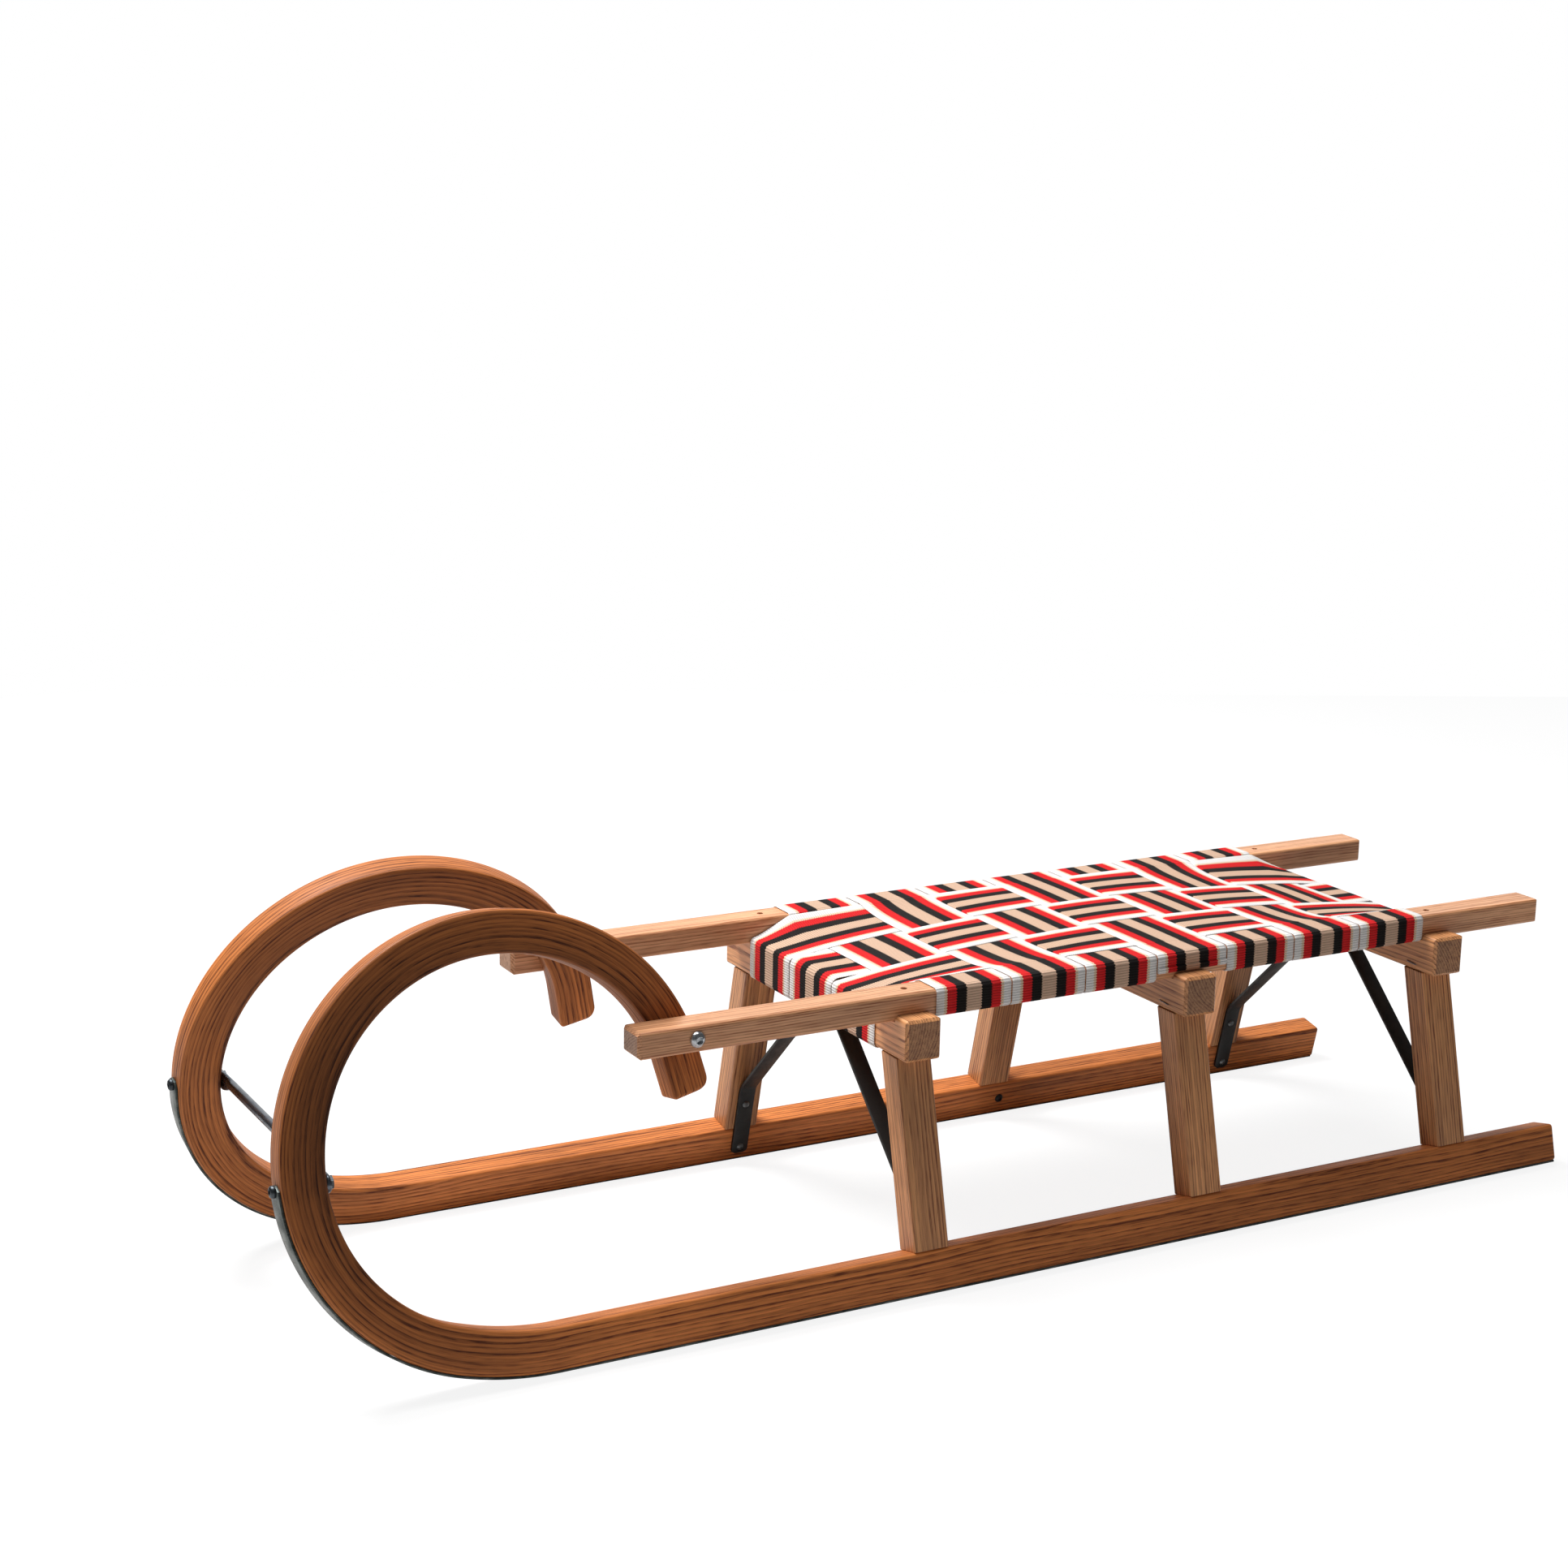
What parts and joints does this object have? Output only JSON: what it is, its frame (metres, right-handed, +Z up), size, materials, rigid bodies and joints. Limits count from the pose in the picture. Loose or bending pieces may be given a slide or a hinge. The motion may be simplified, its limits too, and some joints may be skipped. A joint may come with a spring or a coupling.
{
  "type": "horn sledge",
  "caption": "Horn sledge: steam-bent runners curl up into horns, splayed legs and crossbars carry side rails with a seat of woven striped webbing.",
  "frame": {"origin": "on the ground, under the middle of the sledge's overall box", "axes": "+X forward towards the horns, +Y to the rider's left, +Z up"},
  "size_m": [1.2016, 0.371, 0.3421],
  "materials": {
    "runner_wood": "oiled steam-bent ash, orange brown with a strong lengthwise grain",
    "rail_wood": "clear-varnished pale ash",
    "crossbar_wood": "clear-varnished ash, warmer than the rails",
    "leg_wood": "clear-varnished pale ash",
    "black_steel": "satin black paint",
    "sole_steel": "dark mill-finish strip, bright where it is worn",
    "bright_steel": "zinc-plated",
    "webbing": "ribbed woven webbing with lengthwise stripes in white, cream, red, black and beige"
  },
  "bodies": {
    "root": {"brace_front_left": "black_steel", "brace_front_right": "black_steel", "brace_rear_left": "black_steel", "brace_rear_right": "black_steel", "crossbar_front": "crossbar_wood", "crossbar_middle": "crossbar_wood", "crossbar_rear": "crossbar_wood", "horn_bolt_left": "bright_steel", "horn_bolt_right": "bright_steel", "horn_rod": "bright_steel", "leg_front_left": "leg_wood", "leg_front_right": "leg_wood", "leg_middle_left": "leg_wood", "leg_middle_right": "leg_wood", "leg_rear_left": "leg_wood", "leg_rear_right": "leg_wood", "rail_bolt_left": "bright_steel", "rail_bolt_right": "bright_steel", "runner_left": "runner_wood", "runner_right": "runner_wood", "seat_band_cross_1": "webbing", "seat_band_cross_2": "webbing", "seat_band_cross_3": "webbing", "seat_band_cross_4": "webbing", "seat_band_cross_5": "webbing", "seat_band_cross_6": "webbing", "seat_band_cross_7": "webbing", "seat_band_long_left": "webbing", "seat_band_long_middle": "webbing", "seat_band_long_right": "webbing", "side_rail_left": "rail_wood", "side_rail_right": "rail_wood", "sole_band_left": "sole_steel", "sole_band_right": "sole_steel"}
  },
  "joints": []
}
